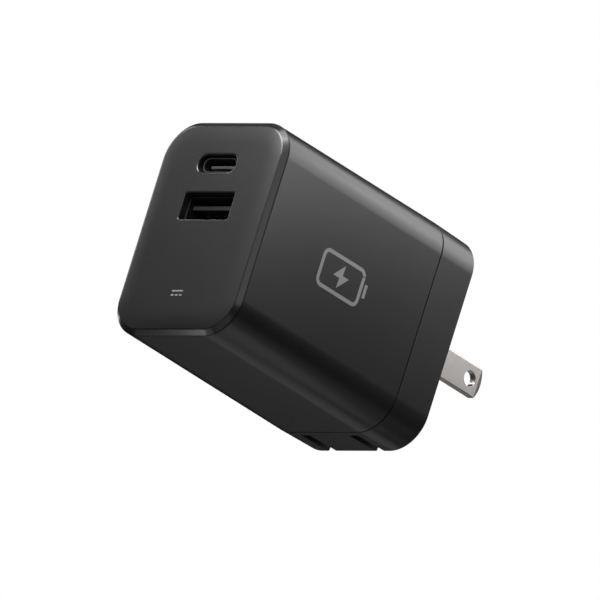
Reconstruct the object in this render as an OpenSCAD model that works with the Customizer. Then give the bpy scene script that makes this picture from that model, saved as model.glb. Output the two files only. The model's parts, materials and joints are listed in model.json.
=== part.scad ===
// Wall charger with one USB-C and one USB-A port and a pair of folding plug blades.
// X runs across the width, Z up, and Y from the port face (-Y) to the wall face at Y = 0.

/* [Case] */
// Width of the case
case_w = 33; // [33:0.5:36]
// Height of the case
case_h = 44; // [44:0.5:48]
// Depth of the case, port face to wall face
case_d = 55.7; // [55.7:0.5:62]
// Radius of the four long corners
corner_r = 7.5; // [7:0.1:8]
// Wall thickness of the housing
wall = 2; // [1.8:0.1:2.2]
// How far the port face's bevel comes in from the sides
bevel_in = 1.05; // [0.8:0.05:1.3]
// How far the port face's bevel drops back
bevel_drop = 0.85; // [0.6:0.05:1]
// Height of the port face's pillow over its bevel
crown = 0.25; // [0.1:0.05:0.4]
// Depth of the rear cover, wall face to seam
cover_d = 9.6; // [9.6:0.1:10.4]
// Draft of the rear cover, each side
cover_draft = 0.27; // [0.1:0.01:0.4]
// Width of the seam groove round the rear cover
seam_gap = 0.3; // [0.2:0.05:0.4]
// Width of the parting line behind the bevel
front_gap = 0.15; // [0.1:0.01:0.2]

/* [Ports] */
// Width of the USB-A opening
usb_a_w = 13.4; // [13.4:0.1:14]
// Height of the USB-A opening
usb_a_h = 5.8; // [5.8:0.1:6.2]
// Height of the USB-A opening's middle over the case's middle
usb_a_z = 4.4; // [4.2:0.1:4.6]
// Width of the USB-C opening
usb_c_w = 10.3; // [9.8:0.1:10.6]
// Height of the USB-C opening
usb_c_h = 3.9; // [3.6:0.1:4.2]
// Sideways place of the USB-C opening
usb_c_x = -0.65; // [-1:0.05:1]
// Height of the USB-C opening's middle over the case's middle
usb_c_z = 13.15; // [13:0.05:13.4]

/* [Plug blades] */
// Distance between the two blades' middles
blade_pitch = 12.7; // [12.6:0.1:12.8]
// Thickness of a blade
blade_t = 1.5; // [1.4:0.05:1.55]
// Width of a blade
blade_w = 6.1; // [5.9:0.1:6.3]
// How far a blade stands out of the wall face
blade_out = 19; // [16:0.1:19]
// Diameter of the hole near a blade's tip
blade_hole_d = 3.1; // [3:0.02:3.4]
// Middle of the hole, back from the tip
blade_hole_back = 3.5; // [3.4:0.1:4.2]
// Width of the slot that a blade folds into
slot_w = 2.25; // [2.1:0.05:2.4]
// Depth of the fold axis behind the wall face
pivot_back = 3.2; // [3.2:0.05:3.3]
// Height of the fold axis over the case's middle
pivot_z = 0.25; // [0.25:0.05:0.4]

/* [Hidden] */
$fn = 96;
eps = 0.01;

// Y of the port face's bevel, of the seam and of the two case rebates
face_y = -case_d;
bevel_y = face_y + bevel_drop;
seam_y = -cover_d;
rebate = 0.45;
housing_front_y = bevel_y + front_gap;
front_joint_y = bevel_y + front_gap / 3;

// Pillow of the port face: how far in from the bevel, and how high as a share of the crown
pillow_steps = [[3, 0.68], [6.2, 1]];
usb_a_r = 0.5;

// Spigots of the front panel and of the rear cover, and the ribs that they stand on
spigot_t = 1.2;
spigot_gap = 0.05;
rib_t = 0.6;
rib_len = 1.5;
panel_back_y = face_y + 2.1;
front_rib_y = face_y + 4.7;
rear_rib_y = seam_y - 3.4;

// Rear cover: its back wall, its inner wall's inset and the fillet of its rear edge
back_wall = 1.8;
cup_in = wall + 0.3;
cup_ring_in = wall - 0.5;
rear_edge_r = 0.46;
fillet_mid = rear_edge_r * (1 - cos(45));

// Blade slots, and the bearings at the two ends of the fold axis
slot_front_y = -7.1;
slot_top_z = 3.65;
slot_wall = 0.9;
bearing_x = [9.6, 11.2];
bearing_half = 3.6;
run_gap = 0.05;
swing_gap = 0.1;
end_gap = 0.2;

// Blade carrier: barrel and trunnions
barrel_r = 2.2;
barrel_half = 9.3;
trunnion_r = 1.5;
trunnion_half = 11.4;

// Blades, with lengths from the fold axis
blade_len = blade_out + pivot_back;
shoulder_r = 2.4;
tail_r = 3.2;
shank_w = 2.8;
tip_bevel = 1.2;
tip_t = blade_t - 0.8;
tip_r = 4.4;
blade_edge = 0.2;

// Retainer plate, the fingers on it and the window that each contact spring reaches through
retainer_t = 1;
retainer_half = 12.4;
retainer_top_z = 6;
retainer_gap = 0.15;
finger_gap = 0.1;
finger_end_y = -pivot_back - 1;
window_half = 1.4;
window_z = [-4.4, 4];

// Contact springs, and the wires from them to the main board
spring_half = 1.1;
spring_r = 0.15;
spring_foot = 2.2;
spring_low_z = -7;
spring_top_z = 3.3;
lead_r = 0.55;
lead_turn_y = -12.4;
lead_end_y = -16.2;
lead_x = -10.4;

// Connector shells and tongues
shell_t = 0.3;
a_shell_w = 13.1;
a_shell_h = 5.5;
a_shell_z = usb_a_z - 0.1;
a_shell_y = face_y + 1.35;
a_shell_r = 0.6;
a_tongue_w = 11.4;
a_tongue_t = 1;
a_tongue_z = usb_a_z + 0.38;
a_tongue_y = face_y + 1.9;
a_root_y = -43.4;
a_contact_x = [-3.5, -1, 1, 3.5];
a_contact_start = 2.2;
a_contact = [1.2, 7, 0.15];
c_shell_w = 8.94;
c_shell_h = 3.16;
c_shell_y = face_y + 0.65;
c_tongue_w = 6.7;
c_tongue_t = 0.7;
c_tongue_y = face_y + 1.7;
c_root_y = -46.4;
c_contact_pitch = 0.5;
c_contact_count = 12;
c_contact_start = 0.5;
c_contact = [0.24, 6.4, 0.08];

// Circuit boards, and the rails that hold the main one
port_board_y = [-40.35, -39.15];
port_board_x = 13.2;
port_board_z = [-3.4, 17.4];
board_x = [-12.6, -11.4];
board_y = [-49.4, -14.8];
board_z = 18.4;
rail_w = 1;
rail_grip = 0.8;

// Chips: thickness, and the pitch, reach and size of their legs
chip_t = 1.2;
chip_lift = 0.1;
leg_pitch = 1.27;
leg = [0.2, 0.8, 0.4];

// Transformer: middle of its winding, and the two ends of its core
tr_y = -31.6;
tr_z = 7.2;
tr_x = [-10.2, 8.6];
core_w = 12;
core_h = 20;
core_plate = 2.8;
core_leg = 2.2;
core_post_r = 3.6;
former_t = 0.6;
former_post_r = core_post_r + 0.8;
former_y = core_w / 2 + 1;
former_z = core_h / 2 - core_leg - 0.1;
winding_r = core_w / 2 + 0.8;
tape_r = core_w / 2 + 1;

// Common-mode choke: place, ring, wire, turns and base
choke_x = -4.2;
choke_y = -19.4;
choke_z = 10.5;
choke_r = [3.2, 6];
choke_t = 5;
wire_t = 0.7;
choke_turns = 9;
turn_step = 14;
turn_angle = 8;
choke_base_half = [3.2, 6.4];

// Fuse: place, barrel and end caps
fuse_x = board_x[1] + 1.4;
fuse_y = -15.9;
fuse_z = [-6, 1];
fuse_r = 1.05;
cap_t = 0.4;
wire_r = 0.3;

// Heat path on the side away from the main board
spreader_x = [12.4, 13.2];
sheet_x = [13.3, 13.7];
heat_y = -27.5;
pad_y = [-37, -26.2];
pad_z = [-1.2, 15.6];

plastic = "#3d3d3f";
plastic_light = "#444446";
black_plastic = "#222224";
nickel = "#b5b3b0";
gold = "#c9a24a";
board_green = "#245c3a";

// ---- shared shapes ----

// The case's outline in X and Z, drawn inset from its outer wall
module outline(inset = 0) {
    w = case_w - 2 * inset;
    h = case_h - 2 * inset;
    r = corner_r - inset;
    square([w - 2 * r, h], center = true);
    square([w, h - 2 * r], center = true);
    for (sx = [-1, 1], sz = [-1, 1])
        translate([sx * (w / 2 - r), sz * (h / 2 - r)]) circle(r);
}

// A rectangle with round corners
module round_rect(w, h, r) {
    square([w - 2 * r, h], center = true);
    square([w, h - 2 * r], center = true);
    for (sx = [-1, 1], sz = [-1, 1])
        translate([sx * (w / 2 - r), sz * (h / 2 - r)]) circle(r, $fn = 32);
}

// Carries a shape drawn in X and Z from y0 to y1
module along_y(y0, y1) {
    translate([0, y1, 0]) rotate([90, 0, 0]) linear_extrude(y1 - y0) children();
}

// Carries a shape drawn in Y and Z from x0 to x1
module along_x(x0, x1) {
    translate([x0, 0, 0]) rotate([90, 0, 90]) linear_extrude(x1 - x0) children();
}

// A round bar along X
module bar_x(r, x0, x1) {
    translate([x0, 0, 0]) rotate([0, 90, 0]) cylinder(h = x1 - x0, r = r);
}

// A box from its lowest corner to its highest
module block(low, high) {
    translate(low) cube(high - low);
}

// A ring of the case's outline between two insets
module ring(inset, thickness, y0, y1) {
    along_y(y0, y1) difference() {
        outline(inset);
        outline(inset + thickness);
    }
}

module at_pivot() {
    translate([0, -pivot_back, pivot_z]) children();
}

// ---- case ----

// Tube with open ends, ribs for the two spigots and rails for the main board
module main_housing() {
    color(plastic) union() {
        difference() {
            union() {
                along_y(housing_front_y, seam_y - seam_gap / 2) outline();
                along_y(front_joint_y, seam_y) outline(rebate);
            }
            along_y(face_y - 1, 1) outline(wall);
        }
        ring(wall - eps, rib_t, front_rib_y, front_rib_y + rib_len);
        ring(wall - eps, rib_t, rear_rib_y - rib_len, rear_rib_y);
        for (side = [-1, 1])
            block([board_x[1], board_y[0], side > 0 ? board_z - rail_grip : -case_h / 2 + wall / 2],
                  [board_x[1] + rail_w, board_y[1], side > 0 ? case_h / 2 - wall / 2 : rail_grip - board_z]);
    }
}

// Bevelled, slightly pillowed face with the two port openings and a spigot behind
module front_panel() {
    color(plastic_light) difference() {
        union() {
            hull() {
                along_y(bevel_y - eps, bevel_y) outline();
                along_y(face_y, face_y + eps) outline(bevel_in);
                for (step = pillow_steps)
                    along_y(face_y - crown * step[1], face_y) outline(bevel_in + step[0]);
            }
            along_y(bevel_y - eps, front_joint_y) outline(rebate);
            along_y(front_joint_y - eps, panel_back_y) outline(wall + spigot_gap);
            ring(wall + spigot_gap, spigot_t, panel_back_y - eps, front_rib_y);
        }
        along_y(face_y - 2, panel_back_y + 1) usb_a_opening();
        along_y(face_y - 2, panel_back_y + 1) usb_c_opening();
    }
}

module usb_a_opening() {
    translate([0, usb_a_z]) round_rect(usb_a_w, usb_a_h, usb_a_r);
}

module usb_c_opening() {
    translate([usb_c_x, usb_c_z]) stadium(usb_c_w, usb_c_h);
}

// A slot shape with round ends
module stadium(w, h) {
    square([w - h, h], center = true);
    for (side = [-1, 1]) translate([side * (w - h) / 2, 0]) circle(h / 2, $fn = 48);
}

// Cup with a spigot, two blade slots and the bearings of the blade carrier
module rear_cover() {
    color(plastic_light) difference() {
        union() {
            difference() {
                union() {
                    hull() {
                        along_y(seam_y + seam_gap / 2, seam_y + seam_gap / 2 + eps) outline();
                        along_y(-rear_edge_r - eps, -rear_edge_r) outline(cover_draft);
                        along_y(-fillet_mid - eps, -fillet_mid) outline(cover_draft + fillet_mid);
                        along_y(-eps, 0) outline(cover_draft + rear_edge_r);
                    }
                    along_y(seam_y, seam_y + seam_gap) outline(rebate);
                }
                along_y(seam_y - 1, -back_wall) outline(cup_in);
            }
            ring(wall + spigot_gap, spigot_t, rear_rib_y, seam_y);
            ring(cup_ring_in, wall + spigot_gap + spigot_t - cup_ring_in, seam_y, slot_front_y);
            for (side = [-1, 1]) translate([side * blade_pitch / 2, 0, 0]) slot_walls();
            for (side = [-1, 1]) bearing_rib(side);
        }
        for (side = [-1, 1]) translate([side * blade_pitch / 2, 0, 0])
            block([-slot_w / 2, slot_front_y, -case_h / 2 - 1], [slot_w / 2, 1, slot_top_z]);
        at_pivot() barrel_trough();
    }
}

module slot_walls() {
    side = slot_w / 2 + slot_wall;
    block([-side, slot_front_y, -case_h / 2 + wall / 2], [side, -back_wall / 2, slot_top_z + slot_wall]);
}

module bearing_rib(side) {
    block([side > 0 ? bearing_x[0] : -bearing_x[1], slot_front_y, pivot_z - bearing_half],
          [side > 0 ? bearing_x[1] : -bearing_x[0], -back_wall / 2, pivot_z + bearing_half]);
}

// Room for the barrel and its trunnions, open towards the inside of the case
module barrel_trough() {
    r = barrel_r + swing_gap;
    half = barrel_half + swing_gap;
    end_r = trunnion_r + run_gap;
    end_half = trunnion_half + end_gap;
    mouth_y = slot_front_y + pivot_back - 1;
    bar_x(r, -half, half);
    block([-half, mouth_y, -r], [half, 0, r]);
    bar_x(end_r, -end_half, end_half);
    block([-end_half, mouth_y, -end_r], [end_half, 0, end_r]);
}

// Plate that closes the slots from inside and holds the trunnions in their bearings
module blade_retainer() {
    plate_y = slot_front_y - retainer_t;
    color(black_plastic) difference() {
        union() {
            along_y(plate_y, slot_front_y) intersection() {
                outline(wall + spigot_gap + spigot_t + retainer_gap);
                translate([-retainer_half, -case_h / 2])
                    square([2 * retainer_half, case_h / 2 + retainer_top_z]);
            }
            for (side = [-1, 1]) retainer_finger(side);
        }
        for (side = [-1, 1]) translate([side * blade_pitch / 2, 0, 0])
            block([-window_half, plate_y - 1, window_z[0]], [window_half, slot_front_y + 1, window_z[1]]);
        at_pivot() bar_x(trunnion_r + run_gap, -case_w / 2, case_w / 2);
    }
}

// Finger that closes one bearing behind its trunnion
module retainer_finger(side) {
    x = [bearing_x[0] + finger_gap, bearing_x[1] - finger_gap];
    block([side > 0 ? x[0] : -x[1], slot_front_y - eps, pivot_z - trunnion_r],
          [side > 0 ? x[1] : -x[0], finger_end_y, pivot_z + trunnion_r]);
}

// ---- folding blades ----

// Moulded barrel that turns with both blades
module blade_carrier() {
    color(black_plastic) at_pivot() difference() {
        union() {
            bar_x(barrel_r, -barrel_half, barrel_half);
            bar_x(trunnion_r, -trunnion_half, trunnion_half);
        }
        for (side = [-1, 1]) translate([side * blade_pitch / 2, 0, 0])
            cube([blade_t, 2 * tail_r, shank_w], center = true);
    }
}

// Flat blade with a waisted shank, a bevelled tip that ends in an arc, and a hole
module blade() {
    color(nickel) at_pivot() difference() {
        intersection() {
            along_x(-blade_t / 2, blade_t / 2) {
                translate([0, -shank_w / 2]) square([shoulder_r + 1, shank_w]);
                translate([shank_w / 2 - tail_r, -shank_w / 2]) square([tail_r, shank_w]);
                translate([shank_w / 2 - tail_r, 0]) circle(shank_w / 2);
                translate([shoulder_r, -blade_w / 2]) square([blade_len - tip_r - shoulder_r, blade_w]);
                intersection() {
                    translate([blade_len - 2 * tip_r, -blade_w / 2]) square([2 * tip_r, blade_w]);
                    translate([blade_len - tip_r, 0]) circle(tip_r);
                }
            }
            translate([0, 0, -blade_w]) linear_extrude(2 * blade_w) polygon([
                [-blade_t / 2, -tail_r - 1], [blade_t / 2, -tail_r - 1],
                [blade_t / 2, blade_len - tip_bevel], [tip_t / 2, blade_len],
                [-tip_t / 2, blade_len], [-blade_t / 2, blade_len - tip_bevel]
            ]);
            along_y(-tail_r - 1, blade_len + 1) polygon([
                for (c = [[1, 1], [-1, 1], [-1, -1], [1, -1]], k = [0, 1])
                    let (first = (c[0] * c[1] > 0) == (k == 0))
                    [c[0] * (blade_t / 2 - (first ? 0 : blade_edge)),
                     c[1] * (blade_w / 2 - (first ? blade_edge : 0))]
            ]);
        }
        translate([0, blade_len - blade_hole_back, 0]) bar_x(blade_hole_d / 2, -blade_t, blade_t);
    }
}

module blade_left() {
    translate([-blade_pitch / 2, 0, 0]) blade();
}

module blade_right() {
    translate([blade_pitch / 2, 0, 0]) blade();
}

// Bent strip that the tail of an unfolded blade comes up to
module contact_spring() {
    back_y = slot_front_y - retainer_t - spring_r;
    bow_y = -pivot_back - tail_r - swing_gap - spring_r;
    bends = [
        [back_y - spring_foot, spring_low_z], [back_y, spring_low_z], [back_y, -4.1],
        [bow_y - 0.3, pivot_z - 0.9], [bow_y, pivot_z], [bow_y - 0.3, pivot_z + 0.9],
        [back_y + 0.3, spring_top_z]
    ];
    color(gold) along_x(-spring_half, spring_half) for (i = [1 : len(bends) - 1]) hull() {
        translate(bends[i - 1]) circle(spring_r, $fn = 16);
        translate(bends[i]) circle(spring_r, $fn = 16);
    }
}

module contact_spring_left() {
    translate([-blade_pitch / 2, 0, 0]) contact_spring();
}

module contact_spring_right() {
    translate([blade_pitch / 2, 0, 0]) contact_spring();
}

// Insulated wire from a contact spring to the main board
module input_lead(side, drop_z, tint) {
    spring_x = side * blade_pitch / 2;
    bends = [
        [spring_x, -10.6, spring_low_z - spring_r - lead_r], [spring_x, lead_turn_y, drop_z],
        [lead_x, lead_turn_y, drop_z], [lead_x, lead_end_y, drop_z],
        [board_x[1] + lead_r, lead_end_y, drop_z]
    ];
    color(tint) for (i = [1 : len(bends) - 1]) hull() {
        translate(bends[i - 1]) sphere(lead_r, $fn = 16);
        translate(bends[i]) sphere(lead_r, $fn = 16);
    }
}

module input_lead_left() {
    input_lead(-1, -9.6, "#e9e4d6");
}

module input_lead_right() {
    input_lead(1, -12.4, "#2b2b2b");
}

// ---- ports ----

module usb_c_shell() {
    color(nickel) along_y(c_shell_y, port_board_y[0]) translate([usb_c_x, usb_c_z]) difference() {
        stadium(c_shell_w, c_shell_h);
        stadium(c_shell_w - 2 * shell_t, c_shell_h - 2 * shell_t);
    }
}

module usb_c_tongue() {
    color(black_plastic) translate([usb_c_x, 0, usb_c_z]) {
        block([-c_tongue_w / 2, c_tongue_y, -c_tongue_t / 2],
              [c_tongue_w / 2, c_root_y + eps, c_tongue_t / 2]);
        along_y(c_root_y, port_board_y[0]) stadium(c_shell_w - 2 * shell_t, c_shell_h - 2 * shell_t);
    }
}

// Twelve contacts on each face of the tongue
module usb_c_contacts() {
    color(gold) translate([usb_c_x, 0, usb_c_z])
        for (i = [0 : c_contact_count - 1], face = [-1, 1])
            translate([(i - (c_contact_count - 1) / 2) * c_contact_pitch - c_contact[0] / 2,
                       c_tongue_y + c_contact_start,
                       face > 0 ? c_tongue_t / 2 : -c_tongue_t / 2 - c_contact[2]])
                cube(c_contact);
}

module usb_a_shell() {
    color(nickel) along_y(a_shell_y, port_board_y[0]) translate([0, a_shell_z]) difference() {
        round_rect(a_shell_w, a_shell_h, a_shell_r);
        a_shell_room();
    }
}

// The room inside the USB-A shell
module a_shell_room() {
    round_rect(a_shell_w - 2 * shell_t, a_shell_h - 2 * shell_t, a_shell_r - shell_t);
}

module usb_a_tongue() {
    color(black_plastic) {
        block([-a_tongue_w / 2, a_tongue_y, a_tongue_z - a_tongue_t / 2],
              [a_tongue_w / 2, a_root_y + eps, a_tongue_z + a_tongue_t / 2]);
        along_y(a_root_y, port_board_y[0]) translate([0, a_shell_z]) a_shell_room();
    }
}

// Four contacts under the tongue
module usb_a_contacts() {
    color(gold) for (x = a_contact_x)
        translate([x - a_contact[0] / 2, a_tongue_y + a_contact_start,
                   a_tongue_z - a_tongue_t / 2 - a_contact[2]])
            cube(a_contact);
}

// ---- boards and chips ----

module main_board() {
    color(board_green) block([board_x[0], board_y[0], -board_z], [board_x[1], board_y[1], board_z]);
}

module port_board() {
    color(board_green)
        block([board_x[1], port_board_y[0], port_board_z[0]],
              [port_board_x, port_board_y[1], port_board_z[1]]);
}

// Flat chip on the back of the main board, with short legs along two sides
module back_chip(y, z, w, h, tint) {
    legs = floor(h / leg_pitch);
    x = board_x[0];
    color(tint) {
        block([x - chip_t, y - w / 2, z - h / 2], [x - chip_lift, y + w / 2, z + h / 2]);
        for (i = [0 : legs - 1], side = [-1, 1])
            translate([x - leg[0], y + side * w / 2 - leg[1] / 2,
                       z + (i - (legs - 1) / 2) * leg_pitch - leg[2] / 2])
                cube(leg);
    }
}

module bridge_rectifier() {
    back_chip(-19.5, -9, 6, 5.1, black_plastic);
}

module power_switch_chip() {
    back_chip(-26, 2, 6, 8, black_plastic);
}

module controller_chip() {
    back_chip(-34, 8, 4, 5.1, black_plastic);
}

module sync_rectifier_chip() {
    back_chip(-43, -6, 6, 5.1, black_plastic);
}

module port_controller_chip() {
    color(black_plastic) block([2, port_board_y[0] - 1, -2.9], [6, port_board_y[0], 0.9]);
}

// ---- transformer ----

// Half of the ferrite core: a plate, two outer legs and a round post; side is -1 or 1
module core_half(side) {
    mid = (tr_x[0] + tr_x[1]) / 2;
    end = side > 0 ? tr_x[1] : tr_x[0];
    inner = end - side * core_plate;
    color("#4a4745") translate([0, tr_y, tr_z]) {
        block([min(inner, end), -core_w / 2, -core_h / 2], [max(inner, end), core_w / 2, core_h / 2]);
        for (s = [-1, 1])
            block([min(mid, end), -core_w / 2, s > 0 ? core_h / 2 - core_leg : -core_h / 2],
                  [max(mid, end), core_w / 2, s > 0 ? core_h / 2 : core_leg - core_h / 2]);
        bar_x(core_post_r, min(mid, end), max(mid, end));
    }
}

module transformer_core_lower() {
    core_half(-1);
}

module transformer_core_upper() {
    core_half(1);
}

// Former with two flanges, and a base that stands on the main board
module transformer_bobbin() {
    x0 = tr_x[0] + core_plate;
    x1 = tr_x[1] - core_plate;
    color(black_plastic) translate([0, tr_y, tr_z]) difference() {
        union() {
            bar_x(former_post_r, x0, x1);
            for (x = [x0, x1 - former_t])
                block([x, -former_y, -former_z], [x + former_t, former_y, former_z]);
            for (s = [-1, 1])
                block([board_x[1], s > 0 ? core_w / 2 : -former_y, -former_z],
                      [x0 + former_t, s > 0 ? former_y : -core_w / 2, former_z]);
            block([board_x[1], -former_y, -former_z], [tr_x[0], former_y, former_z]);
        }
        bar_x(core_post_r, x0 - 1, x1 + 1);
    }
}

// A layer round the transformer's post, between the former's two flanges
module coil_layer(r0, r1) {
    translate([tr_x[0] + core_plate + former_t, tr_y, tr_z]) rotate([0, 90, 0])
        linear_extrude(tr_x[1] - tr_x[0] - 2 * core_plate - 2 * former_t) difference() {
            circle(r1);
            circle(r0);
        }
}

module transformer_winding() {
    color("#b06a3a") coil_layer(former_post_r, winding_r);
}

module transformer_tape() {
    color("#d8b93a") coil_layer(winding_r, tape_r);
}

// ---- capacitors and filter ----

// Can that stands on the main board along X, with its crimp and its vented top
module can_capacitor(r, h, y, z) {
    translate([board_x[1], y, z]) rotate([0, 90, 0]) rotate_extrude() polygon([
        [0, 0], [r - 0.3, 0], [r, 0.4], [r, 1.6], [r - 0.45, 2.1], [r, 2.6],
        [r, h - 0.4], [r - 0.4, h], [r - 1.1, h], [r - 1.4, h - 0.2], [0, h - 0.2]
    ]);
}

module bulk_capacitors() {
    color("#2d3f66") for (y = [-33.4, -22.8]) can_capacitor(5, 20, y, -12.4);
}

module output_capacitors() {
    color("#a9adb3") for (z = [-14, -7]) can_capacitor(3.2, 10, -45.2, z);
}

module choke_frame() {
    translate([choke_x, choke_y, choke_z]) rotate([90, 0, 0]) children();
}

module choke_core() {
    color("#3c6e52") choke_frame() translate([0, 0, -choke_t / 2]) linear_extrude(choke_t) difference() {
        circle(choke_r[1]);
        circle(choke_r[0]);
    }
}

// Two banks of turns round the ring, one for each supply line
module choke_windings() {
    color("#b06a3a") choke_frame() for (bank = [0, 180], i = [0 : choke_turns - 1])
        rotate([0, 0, bank + (i - (choke_turns - 1) / 2) * turn_step]) rotate_extrude(angle = turn_angle)
            translate([(choke_r[0] + choke_r[1]) / 2, 0]) difference() {
                square([choke_r[1] - choke_r[0] + 2 * wire_t, choke_t + 2 * wire_t], center = true);
                square([choke_r[1] - choke_r[0], choke_t], center = true);
            }
}

module choke_base() {
    half = choke_base_half;
    color(black_plastic)
        block([board_x[1], choke_y - half[0], choke_z - half[1]],
              [choke_x - choke_r[1] - wire_t, choke_y + half[0], choke_z + half[1]]);
}

module x_capacitor() {
    color("#c8a33c") block([board_x[1], -23.4, -7], [2.2, -17.2, 3.4]);
}

// Coated disc on two legs that reach the main board
module disc_part(r, t, y, z, tint) {
    stand = 1.2;
    leg_r = 0.35;
    color(tint) {
        translate([board_x[1] + stand + r, y, z - t / 2]) cylinder(r = r, h = t);
        for (s = [-1, 1])
            translate([0, y + s * r / 2, z]) bar_x(leg_r, board_x[1], board_x[1] + stand + r);
    }
}

module y_capacitor() {
    disc_part(3.5, 2.8, -34.6, -5.2, "#3f7fb5");
}

module varistor() {
    disc_part(3.7, 3, -27.2, -5.2, "#2f5fa0");
}

module fuse() {
    color("#b9bcae") translate([0, fuse_y, 0]) {
        translate([fuse_x, 0, fuse_z[0]]) cylinder(r = fuse_r, h = fuse_z[1] - fuse_z[0]);
        for (z = [fuse_z[0] - cap_t, fuse_z[1]]) {
            translate([fuse_x, 0, z]) cylinder(r = wire_r, h = cap_t);
            translate([0, 0, z + cap_t / 2]) bar_x(wire_r, board_x[1], fuse_x);
        }
    }
}

// ---- heat path ----

module thermal_pad() {
    color("#8d9aa6") block([tr_x[1], pad_y[0], pad_z[0]], [spreader_x[0], pad_y[1], pad_z[1]]);
}

module heat_spreader() {
    color("#c3c6c9") along_x(spreader_x[0], spreader_x[1]) translate([heat_y, 0]) round_rect(23, 33, 2);
}

module insulation_sheet() {
    color("#e8e6dc") along_x(sheet_x[0], sheet_x[1]) translate([heat_y, 0]) round_rect(25, 33.6, 1);
}

main_housing();
front_panel();
rear_cover();
blade_retainer();
blade_carrier();
blade_left();
blade_right();
contact_spring_left();
contact_spring_right();
input_lead_left();
input_lead_right();
usb_c_shell();
usb_c_tongue();
usb_c_contacts();
usb_a_shell();
usb_a_tongue();
usb_a_contacts();
main_board();
port_board();
port_controller_chip();
transformer_core_lower();
transformer_core_upper();
transformer_bobbin();
transformer_winding();
transformer_tape();
bulk_capacitors();
output_capacitors();
choke_core();
choke_windings();
choke_base();
x_capacitor();
y_capacitor();
varistor();
fuse();
bridge_rectifier();
power_switch_chip();
controller_chip();
sync_rectifier_chip();
thermal_pad();
heat_spreader();
insulation_sheet();
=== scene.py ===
import json
import math

import bmesh
import bpy
from mathutils import Matrix, Quaternion, Vector


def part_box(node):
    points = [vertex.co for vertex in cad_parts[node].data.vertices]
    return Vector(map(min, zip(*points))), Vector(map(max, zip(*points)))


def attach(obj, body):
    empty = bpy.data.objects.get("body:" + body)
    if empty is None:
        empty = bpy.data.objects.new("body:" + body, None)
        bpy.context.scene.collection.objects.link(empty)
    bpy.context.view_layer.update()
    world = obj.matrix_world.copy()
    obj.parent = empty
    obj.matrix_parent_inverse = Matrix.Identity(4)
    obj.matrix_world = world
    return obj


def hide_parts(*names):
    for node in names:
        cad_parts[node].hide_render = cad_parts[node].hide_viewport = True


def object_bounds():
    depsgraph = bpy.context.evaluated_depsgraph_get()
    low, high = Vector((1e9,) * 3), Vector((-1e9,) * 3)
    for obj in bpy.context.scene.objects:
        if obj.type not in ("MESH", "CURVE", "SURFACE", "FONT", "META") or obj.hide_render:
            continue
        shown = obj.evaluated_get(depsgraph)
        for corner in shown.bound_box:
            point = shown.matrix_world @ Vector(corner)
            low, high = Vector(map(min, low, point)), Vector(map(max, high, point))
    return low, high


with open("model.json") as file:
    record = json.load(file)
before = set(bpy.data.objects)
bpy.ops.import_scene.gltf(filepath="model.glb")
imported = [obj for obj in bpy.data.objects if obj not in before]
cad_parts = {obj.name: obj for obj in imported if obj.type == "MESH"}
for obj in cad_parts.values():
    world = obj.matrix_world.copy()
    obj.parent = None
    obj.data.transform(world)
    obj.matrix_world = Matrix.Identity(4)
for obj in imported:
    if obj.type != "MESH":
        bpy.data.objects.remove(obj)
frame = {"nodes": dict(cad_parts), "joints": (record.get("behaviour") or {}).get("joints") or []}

cad_low, cad_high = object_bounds()
mm = 0.001
scene = bpy.context.scene

# ---- Camera ----
# A long lens sees the charger from its front right, from below the horizon and tipped over sideways.
# Its view has no perspective, so an orthographic camera with a roll stands for it.
turn, lift, roll = math.radians(47.284), math.radians(-16.595), math.radians(17.35)
look_at, stand_off = Vector((13.395, -38.05, -7.152)) * mm, 0.3
back = Vector((math.sin(turn) * math.cos(lift), -math.cos(turn) * math.cos(lift), math.sin(lift)))
lens = bpy.data.cameras.new("lens")
lens.type = "ORTHO"
lens.ortho_scale = 113.434 * mm
lens.clip_start, lens.clip_end = 1 * mm, 10
camera = bpy.data.objects.new("camera", lens)
camera.location = look_at + back * stand_off
camera.rotation_mode = "QUATERNION"
camera.rotation_quaternion = (-back).to_track_quat("-Z", "Y") @ Quaternion((0, 0, 1), roll)
scene.collection.objects.link(camera)
scene.camera = camera

# ---- Studio ----
# A white surround and a pale floor below the charger, lit by soft square lamps that stand round it: a key
# over the port face, a row along its right side, weak ones low down, and small ones that put a glint on the
# bevel and the port lips. No lamp is seen itself, and the surround and floor are bright only to the camera.
scene.view_settings.view_transform = "Standard"
scene.view_settings.look = "None"
surround = bpy.data.worlds.new("white_surround")
surround.use_nodes = True
scene.world = surround


def show(tree, lit, seen, end):
    """Ends a node tree with one shader that the camera sees and another that every other ray meets"""
    ray, either = tree.nodes.new("ShaderNodeLightPath"), tree.nodes.new("ShaderNodeMixShader")
    tree.links.new(ray.outputs["Is Camera Ray"], either.inputs["Fac"])
    tree.links.new(lit.outputs[0], either.inputs[1])
    tree.links.new(seen.outputs[0], either.inputs[2])
    tree.links.new(either.outputs[0], end.inputs["Surface"])


sky = surround.node_tree.nodes
dim_white = sky.new("ShaderNodeBackground")
dim_white.inputs["Strength"].default_value = 0.02
for white in (sky["Background"], dim_white):
    white.inputs["Color"].default_value = (1, 1, 1, 1)
show(surround.node_tree, dim_white, sky["Background"], sky["World Output"])

lamp_aim = Vector((0, -28, 0)) * mm


def lamp(name, azimuth, elevation, away, size, power):
    """A soft square lamp, aimed at the case's middle; azimuth 0 is in front of the port face"""
    light = bpy.data.lights.new(name, "AREA")
    light.shape, light.size, light.energy = "SQUARE", size * mm, power
    turned, raised = math.radians(azimuth), math.radians(elevation)
    level = math.cos(raised)
    side = Vector((math.sin(turned) * level, -math.cos(turned) * level, math.sin(raised)))
    obj = bpy.data.objects.new(name, light)
    obj.location = lamp_aim + side * away * mm
    obj.rotation_mode = "QUATERNION"
    obj.rotation_quaternion = side.to_track_quat("Z", "Y")
    obj.visible_camera = False
    scene.collection.objects.link(obj)


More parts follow.
